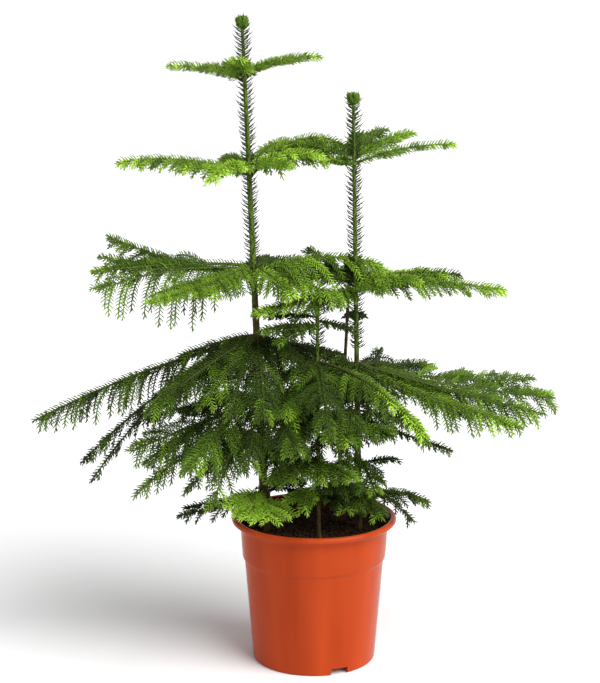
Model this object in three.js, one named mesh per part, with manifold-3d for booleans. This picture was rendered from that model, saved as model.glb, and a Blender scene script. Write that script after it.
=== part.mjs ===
// Norfolk Island pine in a nursery pot: four young stems that carry whorls of flat, needle-clad fronds.
// Millimetres, +Z up. The origin is the middle of the pot's flat underside; the viewer stands towards -Y.
import * as THREE from "three";
import { mergeVertices } from "three/addons/utils/BufferGeometryUtils.js";
import Module from "manifold-3d";

const wasm = await Module();
wasm.setup();

// Clearance between a piece and the piece that carries it.
const GAP = 0.3;

// Pot: a thin moulded wall with a rolled rim, a stepped collar and a base that stands on a pad and a ring.
const POT = {
  height: 187.5,
  rimRadius: 105,
  rimBead: 4,
  rimInnerRadius: 98.5,
  neckRadius: 93.4,
  neckHeight: 178,
  collarTopRadius: 93.5,
  collarTop: 166,
  collarFootRadius: 91.5,
  collarFoot: 138,
  bodyTopRadius: 88.7,
  bodyTop: 130,
  footRadius: 78.5,
  footRound: 3,
  footRingInside: 73,
  padRadius: 44,
  channelHeight: 9,
  channelSlope: 3,
  wall: 2,
  facets: 30,
  stepsPerCurve: 2,
};
const NOTCH = { width: 23, height: 8.5, depth: 20, count: 3, firstAzimuth: 294 };
const SOIL = { top: 166, sideGap: 0.36 };

// A bough is its azimuth in degrees (0 is +X, 270 faces the viewer), its reach, the rise in degrees at
// which it leaves the stem, and how far its tip stands above its root. Where they are given, roll in
// degrees lifts its left side as seen from the stem, wing and droop take the place of the whorl's own,
// and bare is the share of an old bough, from the stem, that has shed its twigs.
function bough(azimuth, reach, rise, lift, options = {}) {
  return { azimuth, reach, rise, lift, ...options };
}

// Stems: foot and tip of each centre line, and the height where its green leader begins to bear needles.
// Tiers are whorls of boughs from the top down: wing is the longest side twig as a share of the reach,
// droop how far the side twigs hang, and limbs how many of the boughs, from the first, have a separate
// inner limb.
const STEMS = [
  {
    name: "left",
    foot: [-62, 4],
    tip: [-88.5, 4, 815],
    footRadius: 6,
    leaderFrom: 468,
    tiers: [
      { height: 741, wing: 0.26, droop: 0.1, boughs: [
        bough(181, 86, 24, 17, { wing: 0.22 }),
        bough(262, 42, 40, 20, { wing: 0.2 }),
        bough(2, 85, 24, 18),
        bough(105, 70, 28, 20),
      ] },
      { height: 626, wing: 0.26, droop: 0.35, boughs: [
        bough(180, 156, 20, 15, { droop: 0.45 }),
        bough(243, 88, 28, -4),
        bough(352, 86, 27, 15),
        bough(18, 132, 48, 24, { wing: 0.36, droop: 0.8 }),
        bough(108, 110, 20, 4),
      ] },
      { height: 503, wing: 0.38, droop: 0.5, boughs: [
        bough(170, 182, 3, 42, { wing: 0.32, droop: 0.4, bare: 0.35 }),
        bough(195, 190, 9, -18, { roll: -30, wing: 0.32, droop: 0.8, bare: 0.15 }),
        bough(228, 168, -13, -24, { wing: 0.22, droop: 0.15 }),
        bough(8, 154, 23, 9, { wing: 0.45, droop: 0.65 }),
        bough(80, 110, 10, -4),
      ] },
      { height: 415, wing: 0.34, droop: 0.6, limbs: 2, boughs: [
        bough(190, 217, -18, -145, { wing: 0.18, bare: 0.5 }),
        bough(183, 274, -13, -101, { wing: 0.2, droop: 1, bare: 0.25 }),
        bough(218, 156, -22, -73, { bare: 0.25 }),
        bough(275, 130, -5, -65),
        bough(35, 109, -9, -30),
      ] },
      { height: 338, wing: 0.38, droop: 0.5, boughs: [
        bough(195, 158, -16, -52, { roll: -25, wing: 0.42, bare: 0.2 }),
        bough(238, 146, -7, -58, { bare: 0.3 }),
        bough(290, 131, -3, -39),
        bough(120, 150, 5, -27),
      ] },
      { height: 283, wing: 0.38, droop: 0.45, boughs: [
        bough(200, 161, 16, -52, { roll: -15, wing: 0.22 }),
        bough(246, 134, 26, -50, { wing: 0.32 }),
      ] },
      { height: 213, wing: 0.62, droop: 0.15, boughs: [
        bough(275, 58, 4, -8, { wing: 0.8 }),
      ] },
      { height: 212, wing: 0.28, droop: 0.4, boughs: [
        bough(186, 102, -8, -19, { wing: 0.36 }),
      ] },
    ],
  },
  {
    name: "right",
    foot: [58, 10],
    tip: [47, 8, 723],
    footRadius: 4,
    leaderFrom: 400,
    tiers: [
      { height: 640, wing: 0.25, droop: 0.2, boughs: [
        bough(0, 117, 22, 23, { wing: 0.2 }),
        bough(42, 92, 26, 28),
        bough(175, 52, 20, 14, { wing: 0.16 }),
        bough(235, 38, 14, 7, { wing: 0.18 }),
      ] },
      { height: 484, wing: 0.32, droop: 0.3, boughs: [
        bough(355, 180, 10, 0, { roll: 4, wing: 0.24 }),
        bough(28, 110, 12, 6, { wing: 0.4 }),
        bough(125, 118, 8, 10),
        bough(205, 132, -7, -21),
      ] },
      { height: 377, wing: 0.36, droop: 0.35, limbs: 2, boughs: [
        bough(338, 210, -16, -53, { roll: 12, wing: 0.22, droop: 0.4, bare: 0.38 }),
        bough(2, 245, -13, -40, { roll: 20, wing: 0.3, droop: 0.4, bare: 0.28 }),
        bough(45, 126, -11, -17),
        bough(130, 110, 0, 0),
        bough(228, 144, -3, -38),
      ] },
      { height: 316, wing: 0.36, droop: 0.45, boughs: [
        bough(335, 121, -13, -28, { wing: 0.17, droop: 0.2 }),
      ] },
      { height: 212, wing: 0.42, droop: 0.35, boughs: [
        bough(350, 80, 24, 0, { wing: 0.46 }),
        bough(318, 80, 22, -18, { wing: 0.24 }),
      ] },
    ],
  },
  {
    name: "front",
    foot: [6, -32],
    tip: [3, -30, 480],
    footRadius: 2.4,
    leaderFrom: 395,
    tiers: [
      { height: 444, wing: 0.4, droop: 0.3, boughs: [
        bough(190, 64, 6, -4),
      ] },
      { height: 388, wing: 0.36, droop: 0.5, boughs: [
        bough(312, 188, 11, -58, { wing: 0.17, droop: 0.8, bare: 0.25 }),
        bough(275, 130, 0, -56),
      ] },
      { height: 330, wing: 0.4, droop: 0.5, boughs: [
        bough(330, 104, -8, -8),
      ] },
    ],
  },
  {
    name: "back",
    foot: [30, 42],
    tip: [46, 44, 515],
    footRadius: 2.6,
    leaderFrom: 460,
    tiers: [
      { height: 490, wing: 0.25, droop: 0.3, boughs: [
        bough(150, 56, 36, 34),
      ] },
      { height: 440, wing: 0.25, droop: 0.3, boughs: [
        bough(70, 44, 5, -2),
      ] },
      { height: 330, wing: 0.4, droop: 0.5, boughs: [
        bough(95, 150, 0, 7),
      ] },
    ],
  },
];
// The steps of a stem bunch up at its foot, where the root flare is.
const STEM = { tipRadius: 1.8, flare: 1, flareHeight: 14, sides: 8, steps: 6, bunching: 2.4 };
// A bough's foot is thicker the further it reaches, and a whorl's boughs leave the stem at three levels.
const BOUGH = {
  footRadius: 1.3,
  footRadiusPerReach: 0.004,
  tipRadius: 1.1,
  sides: 3,
  steps: 7,
  limbSides: 6,
  limbSteps: 2,
  limbShare: 0.28,
  levels: 3,
  levelStep: 5,
};

// Sprays: side twigs with their needles, each a flat toothed blade that stands for several real twigs.
const SPRAY = {
  sides: 3,
  halfWidth: 6,
  flatness: 0.4,
  spacing: 26,
  fewestPairs: 2,
  mostPairs: 8,
  shortest: 15,
  firstShare: 0.12,
  lastShare: 0.9,
  tipShare: 0.7,
  clearOfLimb: 0.05,
  stagger: 0.2,
  variation: 0.18,
  footAngle: 66,
  tipAngle: 40,
  // Length against the longest twig: at the foot of the bough, its growth along it, and at the tip.
  footLength: 0.55,
  growth: 1.8,
  tipLength: 0.1,
  // How far a hanging twig draws in and falls, for its length and a droop of 1. A twig on the lifted side
  // of a rolled bough hangs less and one on the lower side more, within the limits.
  droopDraw: 0.4,
  droopFall: 0.8,
  liftEase: 1.2,
  leastHang: 0.2,
  mostHang: 1.3,
};
// Teeth: the needles along the edges of a spray. Peak and notch are shares of one tooth's length.
const TOOTH = { length: 34, most: 2, peak: 0.5, notch: 0.66, notchWidth: 0.45, narrowing: 0.3 };
// Needles that stand alone in rings round a leader; the top ring leans in over its tip.
const NEEDLE = {
  length: 11,
  radius: 1.1,
  angle: 62,
  tipAngle: 20,
  perRing: 3,
  spacing: 23,
  clearOfWhorl: 9,
};

const MATERIALS = {
  pot: new THREE.MeshStandardMaterial({ color: 0xba461e, roughness: 0.35, metalness: 0 }),
  soil: new THREE.MeshStandardMaterial({ color: 0x20150c, roughness: 0.95, metalness: 0 }),
  stem: new THREE.MeshStandardMaterial({ color: 0x494a22, roughness: 0.75, metalness: 0 }),
  needles: new THREE.MeshStandardMaterial({ color: 0x4f7a26, roughness: 0.55, metalness: 0 }),
};

const UP = new THREE.Vector3(0, 0, 1);
const RIGHT = new THREE.Vector3(1, 0, 0);
const WELD = 1e-4;
const { clamp, degToRad, lerp } = THREE.MathUtils;

// A steady number from 0 to 1 for any set of keys, so that the plant grows the same way each time.
function chance(...keys) {
  const WEIGHTS = [12.9898, 78.233, 37.719];
  const SPREAD = 43758.5453;
  const sum = keys.reduce((total, key, i) => total + key * WEIGHTS[i], 0);
  const wave = Math.sin(sum) * SPREAD;
  return wave - Math.floor(wave);
}

// Closed three.js geometry as a solid that can be joined and cut.
function solidOf(geometry) {
  const bare = geometry.clone();
  bare.deleteAttribute("normal");
  bare.deleteAttribute("uv");
  const merged = mergeVertices(bare, WELD);
  const mesh = new wasm.Mesh({
    numProp: 3,
    vertProperties: merged.getAttribute("position").array,
    triVerts: new Uint32Array(merged.index.array),
  });
  return new wasm.Manifold(mesh);
}

function geometryOf(solid) {
  const mesh = solid.getMesh();
  const geometry = new THREE.BufferGeometry();
  geometry.setAttribute("position", new THREE.BufferAttribute(mesh.vertProperties, 3));
  geometry.setIndex(new THREE.BufferAttribute(mesh.triVerts, 1));
  geometry.computeVertexNormals();
  return geometry;
}

function addNode(group, name, solid, material) {
  const mesh = new THREE.Mesh(geometryOf(solid), material);
  mesh.name = name;
  group.add(mesh);
}

// Every solid placed so far, with the node that it belongs to, so that later twigs can keep clear of it.
const placed = [];

function place(node, solid) {
  placed.push({ node, solid, box: solid.boundingBox() });
}

function boxesApart(a, b, gap) {
  return [0, 1, 2].some((k) => a.min[k] > b.max[k] + gap || b.min[k] > a.max[k] + gap);
}

function isClear(node, solid) {
  const box = solid.boundingBox();
  return placed.every(
    (other) =>
      other.node === node || boxesApart(box, other.box, GAP) || solid.minGap(other.solid, 2 * GAP) >= GAP,
  );
}

// Bends a straight geometry, whose axis runs up +Y from 0 to 1, along a curve. Its x turns towards the
// guide direction. Its sections square up to the curve, or to one direction where that is given.
function layAlong(geometry, curve, guide, facing = null) {
  const position = geometry.getAttribute("position");
  const vertex = new THREE.Vector3();
  for (let i = 0; i < position.count; i++) {
    vertex.fromBufferAttribute(position, i);
    const along = facing ?? curve.getTangent(vertex.y);
    const across = guide.clone().addScaledVector(along, -guide.dot(along)).normalize();
    const over = across.clone().cross(along);
    const point = curve.getPoint(vertex.y);
    point.addScaledVector(across, vertex.x).addScaledVector(over, vertex.z);
    position.setXYZ(i, point.x, point.y, point.z);
  }
  return geometry;
}

// Shares from 0 to 1 in even steps, or in steps that grow from 0 where the bunching is over 1.
function sharesIn(steps, bunching = 1) {
  return Array.from({ length: steps + 1 }, (_, i) => Math.pow(i / steps, bunching));
}

// A tapering limb along a curve, with its radius given at each share of the length and flat ends.
function limb(curve, shares, radiusAt, sides, guide, facing = null) {
  const rings = shares.map((share) => new THREE.Vector2(radiusAt(share), share));
  const profile = [new THREE.Vector2(0, 0), ...rings, new THREE.Vector2(0, 1)];
  return solidOf(layAlong(new THREE.LatheGeometry(profile, sides), curve, guide, facing));
}

// The stretch of a parabola between two shares of it.
function stretchOf(curve, from, to) {
  const start = curve.getPoint(from);
  const end = curve.getPoint(to);
  const bend = curve.v0.clone().lerp(curve.v1, from).lerp(curve.v1.clone().lerp(curve.v2, from), to);
  return new THREE.QuadraticBezierCurve3(start, bend, end);
}

// Pot and soil

function potProfile() {
  const p = POT;
  const rimCentre = p.rimRadius - p.rimBead;
  const underRim = p.height - 2 * p.rimBead;
  const floor = p.channelHeight + p.wall;
  const path = new THREE.Path();
  path.moveTo(0, 0);
  path.lineTo(p.padRadius, 0);
  path.lineTo(p.padRadius + p.channelSlope, p.channelHeight);
  path.lineTo(p.footRingInside - p.channelSlope, p.channelHeight);
  path.lineTo(p.footRingInside, 0);
  path.lineTo(p.footRadius - p.footRound, 0);
  path.absarc(p.footRadius - p.footRound, p.footRound, p.footRound, -Math.PI / 2, 0);
  path.lineTo(p.bodyTopRadius, p.bodyTop);
  path.lineTo(p.collarFootRadius, p.collarFoot);
  path.lineTo(p.collarTopRadius, p.collarTop);
  path.quadraticCurveTo(p.collarTopRadius, underRim, rimCentre, underRim);
  path.absarc(rimCentre, p.height - p.rimBead, p.rimBead, -Math.PI / 2, Math.PI / 2);
  path.lineTo(p.rimInnerRadius, p.height - p.rimBead / 4);
  path.lineTo(p.neckRadius, p.neckHeight);
  path.lineTo(p.collarTopRadius - p.wall, p.collarTop);
  path.lineTo(p.collarFootRadius - p.wall, p.collarFoot);
  path.lineTo(p.bodyTopRadius - p.wall, p.bodyTop);
  path.lineTo(p.footRadius - p.wall, floor);
  path.lineTo(p.padRadius + p.channelSlope - p.wall, floor);
  path.lineTo(p.padRadius - p.wall, p.wall);
  path.lineTo(0, p.wall);
  return path.getPoints(p.stepsPerCurve);
}

// A turned solid about the Z axis from a profile of radius and height.
function turned(profile) {
  const geometry = new THREE.LatheGeometry(profile, POT.facets);
  geometry.rotateX(Math.PI / 2);
  return solidOf(geometry);
}

function makePot() {
  let pot = turned(potProfile());
  for (let i = 0; i < NOTCH.count; i++) {
    const azimuth = degToRad(NOTCH.firstAzimuth + (360 * i) / NOTCH.count);
    const box = new THREE.BoxGeometry(NOTCH.depth, NOTCH.width, 2 * NOTCH.height);
    box.translate(POT.footRadius, 0, 0).rotateZ(azimuth);
    pot = pot.subtract(solidOf(box));
  }
  return pot;
}

function makeSoil() {
  const p = POT;
  const inset = p.wall + SOIL.sideGap;
  const floor = p.channelHeight + p.wall + GAP;
  const profile = [
    [0, p.wall + GAP],
    [p.padRadius - inset, p.wall + GAP],
    [p.padRadius + p.channelSlope - inset, floor],
    [p.footRadius - inset, floor],
    [p.bodyTopRadius - inset, p.bodyTop],
    [p.collarFootRadius - inset, p.collarFoot],
    [p.collarTopRadius - inset, SOIL.top],
    [0, SOIL.top],
  ];
  return turned(profile.map(([radius, height]) => new THREE.Vector2(radius, height)));
}

// Stems

const STEM_FOOT = SOIL.top + GAP;

function stemLine(stem) {
  return new THREE.LineCurve3(new THREE.Vector3(...stem.foot, STEM_FOOT), new THREE.Vector3(...stem.tip));
}

function stemShareAt(stem, height) {
  return (height - STEM_FOOT) / (stem.tip[2] - STEM_FOOT);
}

function stemRadiusAt(stem, share) {
  const height = share * (stem.tip[2] - STEM_FOOT);
  return lerp(stem.footRadius, STEM.tipRadius, share) + STEM.flare * Math.exp(-height / STEM.flareHeight);
}

// Needles stand round the green leader in rings, each ring turned from the last, clear of the whorls.
function leaderNeedles(stem) {
  const needles = [];
  const rings = Math.floor((stem.tip[2] - stem.leaderFrom) / NEEDLE.spacing);
  for (let ring = 0; ring <= rings; ring++) {
    const height = stem.tip[2] - NEEDLE.length / 2 - ring * NEEDLE.spacing;
    const atWhorl = stem.tiers.some((tier) => Math.abs(tier.height - height) < NEEDLE.clearOfWhorl);
    if (atWhorl) continue;
    const root = stemLine(stem).getPoint(stemShareAt(stem, height));
    const lean = degToRad(ring === 0 ? NEEDLE.tipAngle : NEEDLE.angle);
    for (let i = 0; i < NEEDLE.perRing; i++) {
      const turn = (2 * Math.PI * (i + ring / 2)) / NEEDLE.perRing;
      const cone = new THREE.ConeGeometry(NEEDLE.radius, NEEDLE.length, 3);
      cone.translate(0, NEEDLE.length / 2, 0).rotateX(Math.PI / 2);
      cone.rotateY(lean).rotateZ(turn).translate(root.x, root.y, root.z);
      needles.push(solidOf(cone));
    }
  }
  return needles;
}

// The shaft ends just below the tip, which the top ring of needles reaches.
function makeStem(stem) {
  const line = stemLine(stem);
  const top = stemShareAt(stem, stem.tip[2] - NEEDLE.length / 3);
  const shaftLine = new THREE.LineCurve3(line.v1, line.getPoint(top));
  const shares = sharesIn(STEM.steps, STEM.bunching);
  const shaft = limb(shaftLine, shares, (share) => stemRadiusAt(stem, share), STEM.sides, RIGHT, UP);
  return wasm.Manifold.union([shaft, ...leaderNeedles(stem)]);
}

// Boughs and fronds

const boughFootRadius = (reach) => BOUGH.footRadius + BOUGH.footRadiusPerReach * reach;
const boughRadiusAt = (reach, share) => lerp(boughFootRadius(reach), BOUGH.tipRadius, share);

// The curve of a bough: a parabola from just clear of the stem to its tip.
function boughCurve(stem, tier, index) {
  const { azimuth, reach, rise, lift } = tier.boughs[index];
  const level = (index % BOUGH.levels) - (BOUGH.levels - 1) / 2;
  const share = stemShareAt(stem, tier.height + level * BOUGH.levelStep);
  const outward = RIGHT.clone().applyAxisAngle(UP, degToRad(azimuth));
  const slope = degToRad(rise);
  const clear = stemRadiusAt(stem, share) + GAP + boughFootRadius(reach) * Math.abs(Math.sin(slope));
  const root = stemLine(stem).getPoint(share).addScaledVector(outward, clear);
  const halfway = root.clone().addScaledVector(outward, reach / 2);
  const bend = halfway.addScaledVector(UP, (Math.tan(slope) * reach) / 2);
  const tip = root.clone().addScaledVector(outward, reach).addScaledVector(UP, lift);
  return new THREE.QuadraticBezierCurve3(root, bend, tip);
}

function listBoughs() {
  const boughs = [];
  for (const stem of STEMS) {
    stem.tiers.forEach((tier, tierIndex) => {
      tier.boughs.forEach(({ reach, roll = 0, wing = tier.wing, droop = tier.droop, bare = 0 }, index) => {
        boughs.push({
          name: `${stem.name}_${tierIndex + 1}_${index + 1}`,
          seed: boughs.length,
          stem,
          reach,
          roll: degToRad(roll),
          wing,
          droop,
          bare,
          hasLimb: index < (tier.limbs ?? 0),
          curve: boughCurve(stem, tier, index),
        });
      });
    });
  }
  return boughs;
}

// The bare inner limb of a long bough.
function makeLimb(bough) {
  const curve = stretchOf(bough.curve, 0, BOUGH.limbShare);
  const radiusAt = (share) => boughRadiusAt(bough.reach, share * BOUGH.limbShare);
  return limb(curve, sharesIn(BOUGH.limbSteps), radiusAt, BOUGH.limbSides, UP);
}

// The needle-clad rest of a bough, up to where its last spray takes over.
function makeAxis(bough) {
  const from = bough.hasLimb ? BOUGH.limbShare + GAP / bough.curve.getLength() : 0;
  const curve = stretchOf(bough.curve, from, SPRAY.lastShare);
  const radiusAt = (share) => boughRadiusAt(bough.reach, lerp(from, SPRAY.lastShare, share));
  return limb(curve, sharesIn(BOUGH.steps), radiusAt, BOUGH.sides, UP);
}

// Length of a side twig at a share of the bough, against the longest one.
function twigLengthShare(share) {
  return Math.min(1, SPRAY.footLength + SPRAY.growth * share) * Math.sqrt(1 - share) + SPRAY.tipLength;
}

// The curve of a side twig: out and forward from the bough, then hanging by the bough's droop.
function twigCurve(bough, share, side, scale) {
  const { curve, reach, roll, wing, droop } = bough;
  const root = curve.getPoint(share);
  const forward = curve.getTangent(share);
  const level = forward.clone().cross(UP).normalize();
  const sideways = level.applyAxisAngle(forward, roll).multiplyScalar(side);
  const angle = degToRad(lerp(SPRAY.footAngle, SPRAY.tipAngle, share));
  const heading = forward.multiplyScalar(Math.cos(angle)).addScaledVector(sideways, Math.sin(angle));
  const length = Math.max(SPRAY.shortest, scale * wing * reach * twigLengthShare(share));
  const hang = droop * clamp(1 - SPRAY.liftEase * sideways.z, SPRAY.leastHang, SPRAY.mostHang);
  const bend = root.clone().addScaledVector(heading, length / 2);
  const tip = root.clone().addScaledVector(heading, length * (1 - SPRAY.droopDraw * hang));
  tip.addScaledVector(UP, -SPRAY.droopFall * length * hang);
  return new THREE.QuadraticBezierCurve3(root, bend, tip);
}

// A flat toothed blade along a curve, wide in the guide direction: its teeth sweep towards the tip.
function spray(curve, guide) {
  const teeth = clamp(Math.round(curve.getLength() / TOOTH.length), 1, TOOTH.most);
  const profile = [new THREE.Vector2(0, 0)];
  for (let tooth = 0; tooth < teeth; tooth++) {
    const width = SPRAY.halfWidth * (1 - (TOOTH.narrowing * tooth) / teeth);
    profile.push(new THREE.Vector2(width, (tooth + TOOTH.peak) / teeth));
    if (tooth < teeth - 1) {
      profile.push(new THREE.Vector2(width * TOOTH.notchWidth, (tooth + TOOTH.notch) / teeth));
    }
  }
  profile.push(new THREE.Vector2(0, 1));
  const blade = new THREE.LatheGeometry(profile, SPRAY.sides).scale(1, 1, SPRAY.flatness);
  return solidOf(layAlong(blade, curve, guide));
}

// The sprays of a bough: one at its tip, then pairs of side twigs, each kept only where there is room.
function makeSprays(bough, node) {
  const { curve, reach, seed, bare } = bough;
  const tipSpray = spray(stretchOf(curve, SPRAY.tipShare, 1), UP.clone().cross(curve.getTangent(1)));
  const candidates = [tipSpray];
  const first = Math.max(bare, bough.hasLimb ? BOUGH.limbShare + SPRAY.clearOfLimb : SPRAY.firstShare);
  const pairs = clamp(Math.round((reach * (1 - first)) / SPRAY.spacing), SPRAY.fewestPairs, SPRAY.mostPairs);
  for (let pair = 0; pair < pairs; pair++) {
    for (const side of [-1, 1]) {
      const share = lerp(first, SPRAY.lastShare, (pair + 0.5 + SPRAY.stagger * side) / pairs);
      const scale = 1 + SPRAY.variation * (2 * chance(seed, pair, side) - 1);
      const guide = curve.getTangent(share).multiplyScalar(side);
      candidates.push(spray(twigCurve(bough, share, side, scale), guide));
    }
  }
  return candidates.filter((candidate) => isClear(node, candidate));
}

// Assembly: what is fixed comes first, then every axis, and then the sprays in the room that is left.

function addFixed(group, name, solid, material) {
  addNode(group, name, solid, material);
  place(name, solid);
}

const plant = new THREE.Group();

const filledPot = new THREE.Group();
addFixed(filledPot, "pot", makePot(), MATERIALS.pot);
addFixed(filledPot, "soil", makeSoil(), MATERIALS.soil);
plant.add(filledPot);

const stemGroups = new Map();
for (const stem of STEMS) {
  const group = new THREE.Group();
  addFixed(group, `stem_${stem.name}`, makeStem(stem), MATERIALS.stem);
  stemGroups.set(stem, group);
  plant.add(group);
}

const boughs = listBoughs();
for (const bough of boughs) {
  if (bough.hasLimb) {
    addFixed(stemGroups.get(bough.stem), `bough_${bough.name}`, makeLimb(bough), MATERIALS.stem);
  }
  bough.axis = makeAxis(bough);
  place(`frond_${bough.name}`, bough.axis);
}
for (const bough of boughs) {
  const node = `frond_${bough.name}`;
  const sprays = makeSprays(bough, node);
  sprays.forEach((solid) => place(node, solid));
  const frond = wasm.Manifold.union([bough.axis, ...sprays]);
  addNode(stemGroups.get(bough.stem), node, frond, MATERIALS.needles);
}

export default plant;
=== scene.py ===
# Looks of a potted Norfolk Island pine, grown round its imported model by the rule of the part's source.
# Blender 4.5. Named sizes are in millimetres, as in that source; meshes are made in metres.
import math
from dataclasses import dataclass

import bpy
import numpy as np
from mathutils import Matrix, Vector, noise


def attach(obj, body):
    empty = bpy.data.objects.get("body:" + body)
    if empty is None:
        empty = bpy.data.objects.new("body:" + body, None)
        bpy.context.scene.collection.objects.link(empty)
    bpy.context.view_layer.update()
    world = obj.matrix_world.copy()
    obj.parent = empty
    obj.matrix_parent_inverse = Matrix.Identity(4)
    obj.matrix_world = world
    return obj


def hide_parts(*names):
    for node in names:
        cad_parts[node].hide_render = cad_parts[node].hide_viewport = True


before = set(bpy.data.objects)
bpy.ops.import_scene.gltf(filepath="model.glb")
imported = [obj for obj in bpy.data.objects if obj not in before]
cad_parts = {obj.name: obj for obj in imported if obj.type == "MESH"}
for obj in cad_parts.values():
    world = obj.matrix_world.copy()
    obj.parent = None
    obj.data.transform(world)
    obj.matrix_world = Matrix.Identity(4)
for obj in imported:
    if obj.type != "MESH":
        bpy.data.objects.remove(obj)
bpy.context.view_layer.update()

MM = 0.001
# Clearance between a piece and the piece that carries it.
GAP = 0.3
UP = np.array([0.0, 0.0, 1.0])
RIGHT = np.array([1.0, 0.0, 0.0])

# Camera: fitted to the pot's ellipses in the photo. The focal length is in pixels of the photo's frame.
CAMERA = {"place": (-17.9, -2070, 810), "tilt": 10.87, "focal": 1683, "frame_height": 683, "sensor": 36}

# Pot: a turned wall with a rolled rim, a stepped collar and a base that stands on a pad and a ring. The step
# under the collar eases in and out over a small run and rise. The points are those of each arc.
POT = {
    "height": 187.5,
    "rim_radius": 105,
    "rim_bead": 4,
    "rim_inner_radius": 98.5,
    "neck_radius": 93.4,
    "neck_height": 178,
    "collar_top_radius": 93.5,
    "collar_top": 166,
    "collar_foot_radius": 91.5,
    "collar_foot": 138,
    "body_top_radius": 88.7,
    "body_top": 130,
    "step_run": 0.6,
    "step_rise": 2,
    "foot_radius": 78.5,
    "foot_round": 3,
    "foot_ring_inside": 73,
    "pad_radius": 44,
    "channel_height": 9,
    "channel_slope": 3,
    "wall": 2,
    "facets": 144,
    "foot_points": 6,
    "fillet_points": 7,
    "rim_points": 12,
    "sharp_angle": 35,
}
NOTCH = {"width": 23, "height": 8.5, "depth": 20, "count": 3, "first_azimuth": 294}

# Soil: a turned block with lumps of three sizes on its top, each with its fineness and share of the height.
SOIL_TOP = 166
SOIL = {"radius": 91, "foot_inset": 2, "depth": 14, "rings": 50, "sides": 120}
LUMPS = {"height": 2.2, "per_mm": 0.06, "layer": 3, "sizes": ((1, 1), (2.7, 0.5), (7, 0.4))}
# Crumbs: most are near the least size, and each is stretched and made uneven by chance. The middle of one
# stands a share of its size above the soil.
CRUMBS = {"count": 1500, "seed": 7, "edge": 3, "least": 0.8, "growth": 2.4, "rarity": 3,
          "stretch": (0.6, 1.5), "unevenness": (0.75, 1.25), "stand": 0.35}
STEM_FOOT = SOIL_TOP + GAP


@dataclass
class Bough:
    """A bough of a whorl: its azimuth in degrees (0 is +X, 270 faces the viewer), its reach, the rise in
    degrees at which it leaves the stem, how far its tip stands above its root, and the tone of its needles,
    which is partly their age and partly painted shade or painted light for where the bough stands.
    A roll in degrees lifts its left side as seen from the stem. The wing and the droop are those of the
    whorl where they are not given. An old bough is bare of twigs over a first share of its length, and has
    lost a share of the others. Its own needles begin where it is clad."""
    azimuth: float
    reach: float
    rise: float
    lift: float
    tone: int
    roll: float = 0
    wing: float = None
    droop: float = None
    bare: float = 0.09
    lost: float = 0.15
    clad: float = 0.03


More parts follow.
